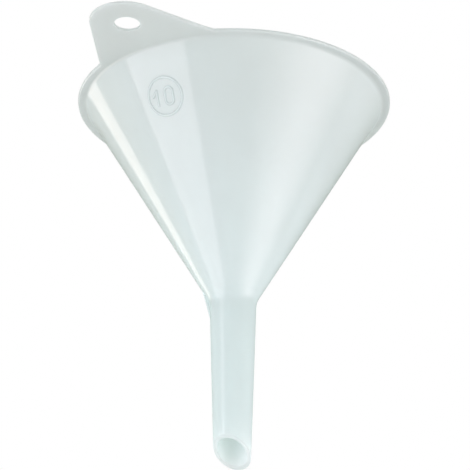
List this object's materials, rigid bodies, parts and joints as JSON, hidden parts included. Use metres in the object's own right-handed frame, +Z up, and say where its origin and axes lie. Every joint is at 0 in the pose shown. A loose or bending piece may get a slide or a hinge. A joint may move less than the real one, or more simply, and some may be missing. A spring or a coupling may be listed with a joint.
{
  "type": "funnel",
  "caption": "Conical translucent plastic laboratory funnel, mouth up, with a flat rim, a hanging tab with a hole, a neck rib and a tapered stem cut on a slant.",
  "frame": {"origin": "on the funnel's axis in the neck plane, where the outside of the cone meets the outside of the stem, which is where a bottle neck or ring centres the cone", "axes": "+Z up the funnel's axis and out of its mouth, -Y towards the hanging tab and the size mark, +X to the right as seen from the tab's side"},
  "size_m": [0.1, 0.1237, 0.1272],
  "materials": {
    "natural_polypropylene": "natural translucent polypropylene, milky with a faint green-grey cast, moulded satin gloss"
  },
  "bodies": {
    "root": {"cone": "natural_polypropylene", "rim_flange": "natural_polypropylene", "hanging_tab": "natural_polypropylene", "stem": "natural_polypropylene", "vent_rib": "natural_polypropylene", "size_ring": "natural_polypropylene", "size_digit_one": "natural_polypropylene", "size_digit_zero": "natural_polypropylene"}
  },
  "joints": []
}
